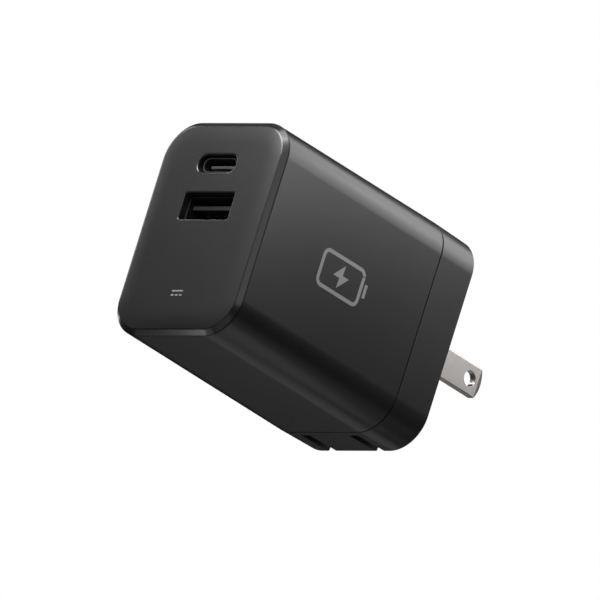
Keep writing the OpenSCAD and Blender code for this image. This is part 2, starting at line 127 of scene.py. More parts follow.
lamp("key_front", -7, 39, 130, 70, 0.168)
lamp("right_side", 98, 29, 130, 70, 0.059)
lamp("right_rear", 163, 47, 260, 140, 0.180)
lamp("right_shoulder", 130, 37, 130, 70, 0.040)
lamp("left_front", -72, 23, 130, 70, 0.034)
lamp("front_low", 33, 14, 260, 140, 0.066)
lamp("front_left_low", -20, 19, 130, 70, 0.009)
lamp("rear_low", 150, 25, 130, 70, 0.008)
lamp("under_front", -37, -53, 130, 70, 0.0105)
lamp("under_rear", 153, -63, 130, 70, 0.0083)
lamp("under_right", 133, -45, 260, 140, 0.0135)
lamp("under_left", -142, -41, 260, 140, 0.021)
lamp("bevel_glint_high", 2, 56, 260, 120, 0.23)
lamp("bevel_glint_low", -29, -42, 80, 8, 0.0005)
lamp("left_rim", -104, -2, 260, 60, 0.03)
lamp("lip_glint", -66, 36, 260, 40, 0.045)
lamp("under_port_side", 8, -36, 260, 150, 0.028)
lamp("bevel_fade", 23, 38, 260, 60, 0.02)
lamp("left_fill", -150, 8, 260, 140, 0.05)

floor_drop, floor_reach = 460 * mm, 2.5
floor_mesh = bpy.data.meshes.new("studio_floor")
floor_bm = bmesh.new()
bmesh.ops.create_grid(floor_bm, x_segments=8, y_segments=8, size=floor_reach)
bmesh.ops.translate(floor_bm, verts=floor_bm.verts, vec=(0, 0, cad_low.z - floor_drop))
floor_bm.to_mesh(floor_mesh)
floor_bm.free()
floor_paint = bpy.data.materials.new("pale_floor")
floor_paint.use_nodes = True
layers = floor_paint.node_tree.nodes
layers["Principled BSDF"].inputs["Base Color"].default_value = (0.5, 0.5, 0.5, 1)
seen_pale = layers.new("ShaderNodeEmission")
seen_pale.inputs["Color"].default_value = (0.80, 0.80, 0.80, 1)
show(floor_paint.node_tree, layers["Principled BSDF"], seen_pale, layers["Material Output"])
floor_mesh.materials.append(floor_paint)
floor = bpy.data.objects.new("studio_floor", floor_mesh)
scene.collection.objects.link(floor)

# ---- Housing ----
# The long case: one tube of satin polycarbonate with finely eroded mould texture, open at both ends. Its
# two rims are set back so that the front panel and the rear cover leave thin shadow lines against it.


class Value:
    """One output of a shader node. Sums on it are written in Python and add their Math nodes."""

    def __init__(self, paint, socket):
        self.paint, self.socket = paint, socket

    def sum(self, operation, *terms):
        return self.paint.node("ShaderNodeMath", {"operation": operation}, dict(enumerate(terms)))

    def __add__(self, other):
        return self.sum("ADD", self, other)

    def __sub__(self, other):
        return self.sum("SUBTRACT", self, other)

    def __rsub__(self, other):
        return self.sum("SUBTRACT", other, self)

    def __mul__(self, other):
        return self.sum("MULTIPLY", self, other)

    def __abs__(self):
        return self.sum("ABSOLUTE", self)

    def __gt__(self, other):
        return self.sum("GREATER_THAN", self, other)

    def __lt__(self, other):
        return self.sum("LESS_THAN", self, other)

    def __mod__(self, other):
        return self.sum("FLOORED_MODULO", self, other)

    __radd__ = __add__
    __rmul__ = __mul__


class Paint:
    def __init__(self, name):
        self.material = bpy.data.materials.new(name)
        self.material.use_nodes = True
        self.tree = self.material.node_tree
        self.shader = self.tree.nodes["Principled BSDF"]
        self.place = self.node("ShaderNodeTexCoord", output="Object")

    def plug(self, socket, item):
        if isinstance(item, Value):
            self.tree.links.new(item.socket, socket)
        elif isinstance(item, tuple) and socket.type == "RGBA":
            socket.default_value = (*item, 1)
        else:
            socket.default_value = item

    def node(self, kind, settings=None, inputs=None, output=0):
        made = self.tree.nodes.new(kind)
        for key, item in (settings or {}).items():
            setattr(made, key, item)
        for key, item in (inputs or {}).items():
            self.plug(made.inputs[key], item)
        return Value(self, made.outputs[output])

    def axis(self, name):
        return self.node("ShaderNodeSeparateXYZ", None, {"Vector": self.place}, output=name)

    def grain(self, size, detail=2.0, rough=0.5, stretch=(1, 1, 1)):
        """Smooth noise from 0 to 1 whose lumps are about size across, and longer where stretch is under 1"""
        where = self.node("ShaderNodeMapping", None, {"Vector": self.place, "Scale": stretch})
        return self.node("ShaderNodeTexNoise", None, {
            "Vector": where, "Scale": 1 / size, "Detail": detail, "Roughness": rough})

    def mix(self, share, first, second):
        """From one colour to another as share goes from 0 to 1"""
        settings = {"data_type": "RGBA", "blend_type": "MIX"}
        return self.node("ShaderNodeMix", settings, {0: share, 6: first, 7: second}, output=2)

    def bump(self, height, depth):
        return self.node("ShaderNodeBump", None, {"Height": height, "Distance": depth})

    def finish(self, **sockets):
        for key, item in sockets.items():
            self.plug(self.shader.inputs[key.replace("_", " ").title()], item)
        return self


def satin(name, dark, light, roughness, pit=0.13 * mm, depth=0.0014 * mm, polished=None, polish=0.0):
    """Moulded plastic: eroded texture, a slow drift of tone and rubbed patches a shade glossier. Where the
    attribute called polished is 1, the tool was polished, so the texture fades and polish comes off."""
    paint = Paint(name)
    pits = paint.grain(pit, detail=2.5, rough=0.6)
    drift = paint.grain(9 * mm)
    rubbed = paint.grain(22 * mm, detail=4, rough=0.62)
    tone = paint.mix(drift * 0.6 + pits * 0.4, dark, light)
    sheen = roughness + (pits - 0.5) * 0.10 + (rubbed - 0.5) * 0.05
    height = pits
    if polished:
        smooth = paint.node("ShaderNodeAttribute", {"attribute_name": polished}, output="Fac")
        sheen = sheen - smooth * polish
        height = pits * (1 - smooth)
    return paint.finish(base_color=tone, roughness=sheen, normal=paint.bump(height, depth))


def rail(bm, width, height, radius, y, centre=(0, 0), segments=24):
    """The edges of an upright rectangle with round corners, facing the ports, at depth y"""
    made = bmesh.ops.create_grid(bm, x_segments=1, y_segments=1, size=0.5)["verts"]
    bmesh.ops.scale(bm, verts=made, vec=(width, height, 1))
    rounded = bmesh.ops.bevel(bm, geom=made, offset=radius, offset_type="OFFSET", segments=segments,
                              profile=0.5, affect="VERTICES", material=-1, clamp_overlap=True)
    face = rounded["verts"][0].link_faces[0]
    stand = Matrix.Translation((centre[0], y, centre[1])) @ Matrix.Rotation(math.radians(90), 4, "X")
    bmesh.ops.transform(bm, matrix=stand, verts=face.verts[:])
    edges = face.edges[:]
    bmesh.ops.delete(bm, geom=[face], context="FACES_ONLY")
    return edges


def loft(bm, profile, outline, closed=False):
    """A skin through one rail for each (inset, y) of the profile. The rails are joined while they stand
    well apart, because loops in one plane can join back to front, and then moved to their places."""
    apart = 5 * mm
    rails = [outline(bm, inset, i * apart) for i, (inset, y) in enumerate(profile)]
    for first, second in list(zip(rails, rails[1:])) + ([(rails[-1], rails[0])] if closed else []):
        bmesh.ops.bridge_loops(bm, edges=first + second)
    for i, (made, (inset, y)) in enumerate(zip(rails, profile)):
        bmesh.ops.translate(bm, verts=list({v for e in made for v in e.verts}), vec=(0, y - i * apart, 0))
    return rails


def quarter(inset, y, radius, start, steps=4):
    """A quarter circle round (inset, y) that starts at the angle start, in degrees, as (inset, y) pairs"""
    turns = [math.radians(start + 90 * i / steps) for i in range(steps + 1)]
    return [(inset + radius * math.cos(t), y + radius * math.sin(t)) for t in turns]


def piece(name, bm, paint, body="root", replaces=(), crease=28):
    """A finished piece from a bmesh: merged, facing outwards, smooth but for its creases, on its body"""
    bmesh.ops.remove_doubles(bm, verts=bm.verts, dist=0.0002 * mm)
    bmesh.ops.recalc_face_normals(bm, faces=bm.faces)
    mesh = bpy.data.meshes.new(name)
    bm.to_mesh(mesh)
    bm.free()
    mesh.polygons.foreach_set("use_smooth", [True] * len(mesh.polygons))
    mesh.set_sharp_from_angle(angle=math.radians(crease))
    mesh.materials.append(paint.material)
    obj = bpy.data.objects.new(name, mesh)
    scene.collection.objects.link(obj)
    even = obj.modifiers.new("even_normals", "WEIGHTED_NORMAL")
    even.mode, even.weight, even.keep_sharp = "FACE_AREA", 50, True
    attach(obj, body)
    if replaces:
        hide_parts(*replaces)
    return obj


# Printed marks stand on the case by the thickness of their ink, which stays inside the case's own size.
ink_t = 0.012 * mm
housing_low, housing_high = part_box("main_housing")
case_w = housing_high.x - housing_low.x - 2 * ink_t
case_h = housing_high.z - housing_low.z - 2 * ink_t
joint_y, seam_y = housing_low.y, housing_high.y
corner_r = 7.5 * mm
wall = 2 * mm
rebate = 0.45 * mm
rim_r = 0.12 * mm
front_rim_y = joint_y + 0.10 * mm
rear_rim_y = seam_y - 0.10 * mm
rib, rib_len = 0.6 * mm, 1.5 * mm
front_rib_y, rear_rib_y = joint_y + 3.8 * mm, seam_y - 3.4 * mm


def case_rail(bm, inset, y):
    """A rail of the case's own outline, drawn inset from its outer wall"""
    return rail(bm, case_w - 2 * inset, case_h - 2 * inset, corner_r - inset, y)


housing_profile = [
    (rebate, joint_y), (rebate, front_rim_y),
    *reversed(quarter(rim_r, front_rim_y + rim_r, rim_r, 180)),
    *reversed(quarter(rim_r, rear_rim_y - rim_r, rim_r, 90)),
    (rebate, rear_rim_y), (rebate, seam_y), (wall, seam_y),
    (wall, rear_rib_y), (wall + rib, rear_rib_y),
    (wall + rib, rear_rib_y - rib_len), (wall, rear_rib_y - rib_len),
    (wall, front_rib_y + rib_len), (wall + rib, front_rib_y + rib_len), (wall + rib, front_rib_y),
    (wall, front_rib_y), (wall, joint_y),
]
housing_bm = bmesh.new()
loft(housing_bm, housing_profile, case_rail, closed=True)


def brick(bm, low, high):
    """A block from its lowest corner to its highest"""
    made = bmesh.ops.create_cube(bm, size=1)["verts"]
    low, high = Vector(low), Vector(high)
    middle, size = (low + high) / 2, high - low
    bmesh.ops.transform(bm, verts=made, matrix=Matrix.Translation(middle) @ Matrix.Diagonal((*size, 1)))
    return made


# Rails above and below hold the main board's front face, one pair along the case.
board_low, board_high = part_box("main_board")
for side in (-1, 1):
    grip, root = side * (board_high.z - 0.8 * mm), side * (housing_high.z - 1 * mm)
    brick(housing_bm, (board_high.x, board_low.y, min(grip, root)),
          (board_high.x + 1 * mm, board_high.y, max(grip, root)))

case_paint = satin("case_satin", (0.0145, 0.0145, 0.0155), (0.021, 0.021, 0.0225), 0.31)
piece("housing_tube", housing_bm, case_paint, replaces=["main_housing"])

# ---- Front panel ----
# The face with both port openings, moulded on its own and welded in: a slightly pillowed satin face, a
# polished bevel cut round it, rolled lips round the openings and a spigot that the housing hides.
panel_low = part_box("front_panel")[0]
crown_y = panel_low.y + ink_t
bevel_in, bevel_drop = 1.05 * mm, 0.85 * mm
crown, pillow_in, pillow_steps = 0.25 * mm - ink_t, 3.8 * mm, 14
face_y = crown_y + crown
bevel_y = face_y + bevel_drop
panel_back_y = face_y + 2.1 * mm
spigot_in, spigot_t = wall + 0.05 * mm, 1.2 * mm
edge_r = 0.15 * mm


def pillow(share):
    """How high the face stands, as a share of the crown, from its edge (0) to its flat middle (1)"""
    return 1 - (1 - share) ** 2


def eased(start, corner, end, steps=6):
    """A corner worn round: points on a smooth curve from start to end that bends at the corner"""
    shares = [i / steps for i in range(steps + 1)]
    return [tuple((1 - u) ** 2 * a + 2 * u * (1 - u) * b + u * u * c for a, b, c in zip(start, corner, end))
            for u in shares]


panel_profile = [
    *((bevel_in + pillow_in * i / pillow_steps, face_y - crown * pillow(i / pillow_steps))
      for i in range(pillow_steps, 0, -1)),
    *eased((bevel_in + edge_r, face_y - edge_r * 2 * crown / pillow_in), (bevel_in, face_y),
           (bevel_in - edge_r, face_y + edge_r * bevel_drop / bevel_in)),
    *eased((edge_r / 2, bevel_y - edge_r / 2 * bevel_drop / bevel_in), (0.01 * mm, bevel_y - 0.01 * mm),
           (0.03 * mm, bevel_y), steps=3),
    (rebate, bevel_y), (rebate, joint_y), (spigot_in, joint_y), (spigot_in, front_rib_y),
    (spigot_in + spigot_t, front_rib_y), (spigot_in + spigot_t, panel_back_y),
]
panel_bm = bmesh.new()
panel_rails = loft(panel_bm, panel_profile, case_rail)


def lip(radius, steps=5, flatness=0.6):
    """A rolled lip from the face in to the plain wall, as how much wider and how deep it is"""
    turns = [math.radians(90 * i / steps) for i in range(steps + 1)]
    return [(radius * (1 - math.sin(t)), crown_y + flatness * radius * (1 - math.cos(t))) for t in turns]


def opening(bm, size, corner, at, lip_r):
    """The lip and the wall of a port opening, as the rails of its skin"""
    def outline(bm, wide, y):
        return rail(bm, size[0] + 2 * wide, size[1] + 2 * wide, corner + wide, y, at, segments=12)
    return loft(bm, lip(lip_r) + [(0, panel_back_y)], outline)


usb_a_at, usb_c_at = (0, 4.4 * mm), (-0.65 * mm, 13.15 * mm)
usb_a_opening, usb_c_opening = (13.15 * mm, 5.55 * mm), (10.05 * mm, 3.7 * mm)
port_rails = [opening(panel_bm, usb_a_opening, 0.5 * mm, usb_a_at, 0.32 * mm),
              opening(panel_bm, usb_c_opening, usb_c_opening[1] / 2 - 0.001 * mm, usb_c_at, 0.38 * mm)]
for end, facing in ((0, -1), (-1, 1)):
    outline = panel_rails[end] + port_rails[0][end] + port_rails[1][end]
    bmesh.ops.triangle_fill(panel_bm, use_beauty=True, use_dissolve=False, edges=outline,
                            normal=(0, facing, 0))

# The bevel and the lips come from polished faces of the mould.
panel_bm.normal_update()
polished = panel_bm.faces.layers.float.new("polished")
port_reach, lip_depth, nearly_flat, quite_flat = 0.5 * mm, 0.4 * mm, 0.991, 0.999
lip_low = (-usb_a_opening[0] / 2 - port_reach, usb_a_at[1] - usb_a_opening[1] / 2 - port_reach)
lip_high = (usb_a_opening[0] / 2 + port_reach, usb_c_at[1] + usb_c_opening[1] / 2 + port_reach)
for face in panel_bm.faces:
    at = face.calc_center_median()
    on_bevel = face_y - 0.03 * mm < at.y < joint_y and abs(face.normal.y) < nearly_flat
    by_port = lip_low[0] < at.x < lip_high[0] and lip_low[1] < at.z < lip_high[1]
    on_lip = by_port and at.y < crown_y + lip_depth and abs(face.normal.y) < quite_flat
    face[polished] = 1.0 if on_bevel or on_lip else 0.0

face_paint = satin("face_satin", (0.0145, 0.0145, 0.0155), (0.021, 0.021, 0.0225), 0.31,
                   polished="polished", polish=0.11)
piece("face_panel", panel_bm, face_paint, replaces=["front_panel"])

# ---- Rear cover ----
# The cup behind the seam, drafted a little towards the wall and rounded round its rear edge, with two
# slots that the blades fold into. Ribs inside carry the fold's bearings. It is welded to the housing.


def solid(bm):
    """A bmesh as an object that other tools can use for a moment"""
    bmesh.ops.recalc_face_normals(bm, faces=bm.faces)
    mesh = bpy.data.meshes.new("tool")
    bm.to_mesh(mesh)
    bm.free()
    obj = bpy.data.objects.new("tool", mesh)
    scene.collection.objects.link(obj)
    return obj


def carve(base, *steps):
    """The base with each (operation, shape) worked into it in turn, as a new bmesh"""
    body, tools = solid(base), []
    for operation, shape in steps:
        tools.append(solid(shape))
        work = body.modifiers.new("work", "BOOLEAN")
        work.operation, work.object, work.solver = operation, tools[-1], "EXACT"
    bpy.context.view_layer.update()
    done = body.evaluated_get(bpy.context.evaluated_depsgraph_get())
    made = bmesh.new()
    made.from_mesh(done.to_mesh())
    done.to_mesh_clear()
    for obj in (body, *tools):
        bpy.data.meshes.remove(obj.data)
    return made


def rod_x(bm, radius, x0, x1, y, z, segments=48):
    """A round bar along X"""
    made = bmesh.ops.create_cone(bm, cap_ends=True, segments=segments, radius1=radius, radius2=radius,
                                 depth=x1 - x0)
    place = Matrix.Translation(((x0 + x1) / 2, y, z)) @ Matrix.Rotation(math.radians(90), 4, "Y")
    bmesh.ops.transform(bm, matrix=place, verts=made["verts"])
    return made["verts"]


cover_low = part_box("rear_cover")[0]
fold = Vector(next(joint["pos_m"] for joint in frame["joints"] if joint["name"] == "blade_fold"))
blade_boxes = [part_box("blade_left"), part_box("blade_right")]
blade_x = [(low.x + high.x) / 2 for low, high in blade_boxes]
draft, rear_r = 0.27 * mm, 0.46 * mm
cup_in, cup_floor = wall + 0.3 * mm, 1.8 * mm
cover_rim_y = seam_y + 0.10 * mm
slot_half, slot_front_y, slot_top_z, slot_wall = 1.125 * mm, -7.1 * mm, 3.65 * mm, 0.9 * mm
bearing_x, bearing_half = (9.6 * mm, 11.2 * mm), 3.6 * mm
barrel_half, barrel_room = 9.4 * mm, 2.3 * mm
trunnion_half, trunnion_room = 11.6 * mm, 1.55 * mm
cover_profile = [
    (cup_in, -cup_floor), (cup_in, slot_front_y), (spigot_in + spigot_t, slot_front_y),
    (spigot_in + spigot_t, rear_rib_y), (spigot_in, rear_rib_y), (spigot_in, seam_y), (rebate, seam_y),
    (rebate, cover_rim_y), *reversed(quarter(rim_r, cover_rim_y + rim_r, rim_r, 180)),
    *reversed(quarter(draft + rear_r, -rear_r, rear_r, 90, steps=8)),
]
cover_bm = bmesh.new()
cover_rails = loft(cover_bm, cover_profile, case_rail)
for end in (0, -1):
    bmesh.ops.contextual_create(cover_bm, geom=cover_rails[end])

ribs, slots, rooms, ways = (bmesh.new() for _ in range(4))
for x in blade_x:
    side = slot_half + slot_wall
    brick(ribs, (x - side, slot_front_y, cover_low.z + 1 * mm), (x + side, -1 * mm, slot_top_z + slot_wall))
    brick(slots, (x - slot_half, slot_front_y - 1 * mm, cover_low.z - 1 * mm),
          (x + slot_half, 1 * mm, slot_top_z))
for side in (-1, 1):
    near, far = sorted(side * x for x in bearing_x)
    brick(ribs, (near, slot_front_y, fold.z - bearing_half), (far, -1 * mm, fold.z + bearing_half))
rod_x(rooms, barrel_room, -barrel_half, barrel_half, fold.y, fold.z)
brick(ways, (-barrel_half, slot_front_y - 1 * mm, fold.z - barrel_room),
      (barrel_half, fold.y, fold.z + barrel_room))
trunnion_rooms, trunnion_ways = bmesh.new(), bmesh.new()
rod_x(trunnion_rooms, trunnion_room, -trunnion_half, trunnion_half, fold.y, fold.z)
brick(trunnion_ways, (-trunnion_half, slot_front_y - 1 * mm, fold.z - trunnion_room),
      (trunnion_half, fold.y, fold.z + trunnion_room))
cover_bm = carve(cover_bm, ("UNION", ribs),
                 *(("DIFFERENCE", hollow) for hollow in (slots, rooms, ways, trunnion_rooms, trunnion_ways)))
cover_paint = satin("cover_satin", (0.0165, 0.0165, 0.0175), (0.0235, 0.0235, 0.025), 0.31)
cover_cup = piece("cover_cup", cover_bm, cover_paint, replaces=["rear_cover"])
mould_edges = cover_cup.modifiers.new("mould_edges", "BEVEL")
mould_edges.width, mould_edges.segments, mould_edges.limit_method = 0.09 * mm, 3, "ANGLE"
mould_edges.angle_limit = math.radians(55)
cover_cup.modifiers.move(1, 0)

# ---- Blades ----
# Two flat blades blanked from brass strip and nickel plated: a bevelled tip with round corners, a hole,
# chamfered edges, and a shank moulded into the carrier. The rolled grain shows through the plating.


def softened(name, node, paint, edge, body="root", angle=40, segments=2):
    """A CAD part with its edges worn round: its mesh is merged, cleared of flat cuts and bevelled"""
    made = bmesh.new()
    made.from_mesh(frame["nodes"][node].data)
    bmesh.ops.remove_doubles(made, verts=made.verts, dist=0.001 * mm)
    bmesh.ops.dissolve_limit(made, angle_limit=math.radians(1), verts=made.verts, edges=made.edges,
                             use_dissolve_boundaries=False)
    obj = piece(name, made, paint, body=body, replaces=[node])
    worn = obj.modifiers.new("worn_edges", "BEVEL")
    worn.width, worn.segments, worn.limit_method = edge, segments, "ANGLE"
    worn.angle_limit = math.radians(angle)
    obj.modifiers.move(1, 0)
    return obj


strip_paint = Paint("nickel_plated_strip")
rolled = strip_paint.grain(0.07 * mm, detail=3, rough=0.6, stretch=(1, 0.3, 1))
flecks = strip_paint.grain(0.28 * mm, detail=4, rough=0.75)
cloud = strip_paint.grain(2.6 * mm)
strip_paint.finish(
    base_color=strip_paint.mix(flecks * 0.7 + cloud * 0.3, (0.655, 0.625, 0.608), (0.92, 0.885, 0.865)),
    roughness=0.36 + (rolled - 0.5) * 0.18 + (cloud - 0.5) * 0.08, metallic=1.0,
    normal=strip_paint.bump(rolled * 0.6 + flecks * 0.4, 0.006 * mm))
for side in ("left", "right"):
    softened("plug_blade_" + side, "blade_" + side, strip_paint, 0.05 * mm, body="blade_unit")

# ---- Blade carrier and retainer ----
# The barrel that both blades turn with, moulded in black glass-filled nylon, and the plate of the same
# nylon whose fingers keep its trunnions in the cover's bearings. Glass fibres show as fine pale flecks.


def filled_nylon(name, dark, light):
    """Satin nylon with glass fibres along it and a slow change of shade"""
    paint = Paint(name)
    fibres = paint.grain(0.10 * mm, detail=3, rough=0.7, stretch=(0.35, 1, 1))
    flow = paint.grain(4 * mm, detail=3)
    return paint.finish(base_color=paint.mix(fibres * 0.7 + flow * 0.3, dark, light),
                        roughness=0.46 + (fibres - 0.5) * 0.2 + (flow - 0.5) * 0.08,
                        normal=paint.bump(fibres, 0.003 * mm))


carrier_paint = filled_nylon("carrier_nylon", (0.010, 0.010, 0.011), (0.026, 0.026, 0.027))
softened("fold_carrier", "blade_carrier", carrier_paint, 0.08 * mm, body="blade_unit")
softened("slot_retainer", "blade_retainer", carrier_paint, 0.08 * mm)

# ---- Contact springs ----
# Bent strips of tinned phosphor bronze that press on the blades' tails once they are unfolded. Rolling
# leaves lines along the strip, and heat from welding leaves warm patches on it.
bronze_paint = Paint("phosphor_bronze")
lines = bronze_paint.grain(0.06 * mm, detail=3, stretch=(1, 1, 0.08))
warm = bronze_paint.grain(1.6 * mm, detail=3)
bronze_paint.finish(base_color=bronze_paint.mix(warm, (0.52, 0.36, 0.20), (0.70, 0.52, 0.32)), metallic=1.0,
                    roughness=0.28 + lines * 0.16, normal=bronze_paint.bump(lines, 0.002 * mm))
for side in ("left", "right"):
    softened("blade_spring_" + side, "contact_spring_" + side, bronze_paint, 0.03 * mm)

# ---- Input leads ----
# Two silicone-covered wires, one cream and one black, from the springs to the main board. The silicone
# is matt, a little dusty, and carries faint ripples from extrusion.


def silicone(name, dark, light):
    """Matt rubber with dust on it and a low ripple"""
    paint = Paint(name)
    dust = paint.grain(0.4 * mm, detail=4, rough=0.7)
    ripple = paint.grain(0.25 * mm)
    return paint.finish(base_color=paint.mix(dust, dark, light), roughness=0.55 + dust * 0.15,
                        normal=paint.bump(ripple, 0.008 * mm))


def coat(paint, *nodes):
    """Gives CAD parts whose shape is already right their finish"""
    for name in nodes:
        mesh = frame["nodes"][name].data
        mesh.materials.clear()
        mesh.materials.append(paint.material)


coat(silicone("cream_silicone", (0.62, 0.57, 0.45), (0.76, 0.72, 0.61)), "input_lead_left")
coat(silicone("black_silicone", (0.012, 0.012, 0.012), (0.035, 0.035, 0.036)), "input_lead_right")

# ---- Port shells ----
# Folded steel shells behind the two openings, nickel plated, with a rounded front rim and, in the USB-A one,
# four spring fingers pressed inwards that grip the plug. Their plating is painted near black, which stands in
# for the shade inside the openings.
shell_paint = Paint("drawn_shell_steel")
drawn = shell_paint.grain(0.07 * mm, detail=3, stretch=(1, 0.1, 1))
stain = shell_paint.grain(1.5 * mm, detail=3)
# Painted shade: the shell colours are kept near black to stand in for the shade inside the port openings.
shaded_shell_dark, shaded_shell_light = (0.022, 0.022, 0.024), (0.042, 0.042, 0.044)
shell_paint.finish(base_color=shell_paint.mix(drawn * 0.5 + stain * 0.5, shaded_shell_dark, shaded_shell_light),
                   metallic=0.6, roughness=0.44 + drawn * 0.14, normal=shell_paint.bump(drawn, 0.001 * mm))
sheet_t, rim_fold = 0.3 * mm, 0.06 * mm


def shell(node, corner):
    """A folded shell as one closed skin: outside, rounded front rim, inside and back edge"""
    low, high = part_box(node)
    centre = ((low.x + high.x) / 2, (low.z + high.z) / 2)
    width, height = high.x - low.x, high.z - low.z

    def outline(bm, inset, y):
        return rail(bm, width - 2 * inset, height - 2 * inset, corner - inset, y, centre, segments=12)

    profile = [(0, high.y), *quarter(rim_fold, low.y + rim_fold, rim_fold, 180),
               *quarter(sheet_t - rim_fold, low.y + rim_fold, rim_fold, 270), (sheet_t, high.y)]
    made = bmesh.new()
    loft(made, profile, outline, closed=True)
    return made, low, high


shell_a_bm, shell_a_low, shell_a_high = shell("usb_a_shell", 0.95 * mm)
finger_w, finger_len, finger_dip, finger_t = 2.2 * mm, 5 * mm, 0.35 * mm, 0.08 * mm
finger_x, finger_y, dip_share = 2.8 * mm, shell_a_low.y + 2.2 * mm, 0.8
for x in (-finger_x, finger_x):
    for wall_z, inward in ((shell_a_low.z + sheet_t, 1), (shell_a_high.z - sheet_t, -1)):
        made = bmesh.ops.create_grid(shell_a_bm, x_segments=1, y_segments=10, size=0.5)["verts"]
        place = Matrix.Translation((x, finger_y + finger_len / 2, wall_z))
        span = Matrix.Diagonal((finger_w, finger_len, 1, 1))
        bmesh.ops.transform(shell_a_bm, verts=made, matrix=place @ span)
        for vert in made:
            along = (vert.co.y - finger_y) / finger_len
            vert.co.z += inward * finger_dip * math.sin(math.pi * min(1, along / dip_share)) ** 2
        skin = bmesh.ops.extrude_face_region(shell_a_bm, geom=list({f for v in made for f in v.link_faces}))
        lifted = [g for g in skin["geom"] if isinstance(g, bmesh.types.BMVert)]
        bmesh.ops.translate(shell_a_bm, verts=lifted, vec=(0, 0, inward * finger_t))
piece("usb_a_can", shell_a_bm, shell_paint, replaces=["usb_a_shell"])
usb_c_low, usb_c_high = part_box("usb_c_shell")
shell_c_bm, _, _ = shell("usb_c_shell", (usb_c_high.z - usb_c_low.z) / 2 - 0.001 * mm)
piece("usb_c_can", shell_c_bm, shell_paint, replaces=["usb_c_shell"])

# ---- Port tongues ----
# The glass-filled polymer tongues that carry the contacts. The USB-A one has a lead-in along its front
# edge, and the USB-C one a rounded nose.


def tongue_plastic(name, dark, light):
    """A satin polymer with short glass fibres that show as fine flecks"""
    paint = Paint(name)
    flecks = paint.grain(0.08 * mm, detail=3, rough=0.7)
    flow = paint.grain(1.2 * mm, detail=3, stretch=(1, 0.4, 1))
    return paint.finish(base_color=paint.mix(flecks * 0.5 + flow * 0.5, dark, light),
                        roughness=0.42 + (flecks - 0.5) * 0.12, normal=paint.bump(flecks, 0.001 * mm))


black_polymer = tongue_plastic("tongue_black", (0.007, 0.007, 0.0075), (0.013, 0.013, 0.014))
grey_polymer = tongue_plastic("tongue_grey", (0.050, 0.050, 0.052), (0.085, 0.085, 0.088))
softened("usb_a_blade_holder", "usb_a_tongue", black_polymer, 0.16 * mm, segments=3)
softened("usb_c_blade_holder", "usb_c_tongue", grey_polymer, 0.14 * mm, segments=3)

# ---- Port contacts ----
# Copper-alloy strips with a gold flash, four under the USB-A tongue and twelve on each face of the USB-C
# one. Plugs wipe them lengthways, so their scratches run that way.
gold_paint = Paint("gold_flash")
wiped = gold_paint.grain(0.06 * mm, detail=3, stretch=(1, 0.12, 1))
worn_gold = gold_paint.grain(0.8 * mm, detail=3)
gold_paint.finish(base_color=gold_paint.mix(worn_gold, (0.42, 0.29, 0.11), (0.70, 0.50, 0.21)), metallic=1.0,
                  roughness=0.24 + wiped * 0.18, normal=gold_paint.bump(wiped, 0.0015 * mm))
softened("usb_a_strips", "usb_a_contacts", gold_paint, 0.03 * mm)
softened("usb_c_strips", "usb_c_contacts", gold_paint, 0.02 * mm)

# ---- Circuit boards ----
# Glass-epoxy boards under green solder mask. Copper tracks lift the mask a little and show paler through
# it, and the weave of the glass gives the whole a faint check.
board_paint = Paint("green_solder_mask")
across, up = board_paint.axis("Y"), board_paint.axis("Z")
track_pitch, weave_pitch = 1.9 * mm, 0.5 * mm
bend = board_paint.grain(7 * mm, detail=0)
lane = (across + bend * 6 * mm) % track_pitch
tracks = (lane > track_pitch * 0.34) * (board_paint.grain(5 * mm, detail=1) > 0.46)
weave = abs((across % weave_pitch) - weave_pitch / 2) + abs((up % weave_pitch) - weave_pitch / 2)
board_paint.finish(
    base_color=board_paint.mix(tracks * 0.8 + weave * 300, (0.006, 0.045, 0.020), (0.020, 0.115, 0.050)),
    roughness=0.30 + tracks * 0.06, normal=board_paint.bump(tracks, 0.03 * mm))
softened("mains_board", "main_board", board_paint, 0.06 * mm)
softened("ports_board", "port_board", board_paint, 0.06 * mm)

# ---- Chips ----
# Black epoxy packages with tinned legs, soldered flat on the boards. The legs sit on the board's face, so
# they are told from the body by how far they are from it.
chip_paint = Paint("moulded_epoxy")
sand = chip_paint.grain(0.05 * mm, detail=3, rough=0.7)
cloudy = chip_paint.grain(1.8 * mm)
legs_from, legs_to = board_low.x - 0.099 * mm, board_low.x + 0.1 * mm
level = chip_paint.axis("X")
leg_level = (level > legs_from) * (level < legs_to)
epoxy = chip_paint.mix(sand * 0.6 + cloudy * 0.4, (0.010, 0.010, 0.011), (0.030, 0.030, 0.032))
chip_paint.finish(
    base_color=chip_paint.mix(leg_level, epoxy, (0.56, 0.56, 0.55)),
    metallic=leg_level, roughness=0.52 + (sand - 0.5) * 0.2 - leg_level * 0.2,
    normal=chip_paint.bump(sand, 0.004 * mm))
for name in ("bridge_rectifier", "power_switch_chip", "controller_chip", "sync_rectifier_chip",
             "port_controller_chip"):
    softened(name + "_package", name, chip_paint, 0.06 * mm)

